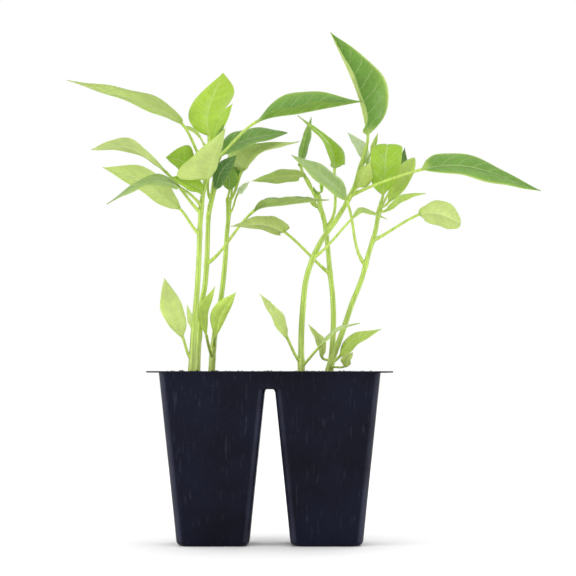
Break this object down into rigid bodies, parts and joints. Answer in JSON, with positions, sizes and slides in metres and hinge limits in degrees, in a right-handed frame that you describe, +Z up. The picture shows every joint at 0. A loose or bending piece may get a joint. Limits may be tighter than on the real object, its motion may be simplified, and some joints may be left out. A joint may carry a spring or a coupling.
{
  "type": "potted pepper plant",
  "caption": "Young pepper plants with long pointed leaves, growing in soil in a joined pair of tapered black plastic nursery cells.",
  "frame": {"origin": "centre of the whole part's bounding box in X and Y, on the plane that the cells stand on", "axes": "+X along the joined cells to the right, +Y from the front of the pack to its back, +Z up the stems"},
  "size_m": [0.2606, 0.0766, 0.2887],
  "materials": {
    "black_plastic": "satin",
    "potting_soil": "matte",
    "stem_green": "satin",
    "leaf_mature": "satin",
    "leaf_young": "satin",
    "leaf_pale": "satin"
  },
  "bodies": {
    "root": {"cell_pack": "black_plastic", "leaf_a_arrow": "leaf_mature", "leaf_a_crown": "leaf_young", "leaf_a_droop": "leaf_mature", "leaf_a_folded": "leaf_pale", "leaf_a_long": "leaf_pale", "leaf_a_low": "leaf_pale", "leaf_a_round": "leaf_young", "leaf_a_sliver": "leaf_young", "leaf_a_tucked": "leaf_mature", "leaf_a_upper": "leaf_pale", "leaf_a_wide": "leaf_pale", "leaf_b_back": "leaf_mature", "leaf_b_bud": "leaf_young", "leaf_b_dark": "leaf_mature", "leaf_b_hanging": "leaf_mature", "leaf_b_low": "leaf_mature", "leaf_b_right": "leaf_pale", "leaf_c_crown": "leaf_mature", "leaf_c_low_left": "leaf_young", "leaf_c_low_right": "leaf_young", "leaf_c_round": "leaf_mature", "leaf_c_small": "leaf_mature", "leaf_c_under": "leaf_pale", "leaf_d_axil": "leaf_mature", "leaf_d_back": "leaf_mature", "leaf_d_bud": "leaf_young", "leaf_d_long": "leaf_mature", "leaf_d_low_edge": "leaf_mature", "leaf_d_low_left": "leaf_young", "leaf_d_side": "leaf_pale", "leaf_d_top": "leaf_mature", "leaf_e_arch": "leaf_young", "leaf_e_bud": "leaf_young", "leaf_e_crown": "leaf_young", "leaf_e_left": "leaf_pale", "leaf_e_low": "leaf_mature", "leaf_e_strip": "leaf_mature", "leaf_e_upper": "leaf_mature", "leaf_e_young": "leaf_young", "leaf_f_back": "leaf_pale", "leaf_f_block": "leaf_young", "leaf_f_bright": "leaf_young", "leaf_f_dark": "leaf_mature", "leaf_f_left": "leaf_mature", "leaf_f_low_right": "leaf_pale", "leaf_f_low_wavy": "leaf_young", "leaf_f_spoon": "leaf_pale", "root_ball_left": "potting_soil", "root_ball_right": "potting_soil", "stem_a": "stem_green", "stem_b": "stem_green", "stem_c": "stem_green", "stem_d": "stem_green", "stem_e": "stem_green", "stem_f": "stem_green"}
  },
  "joints": []
}
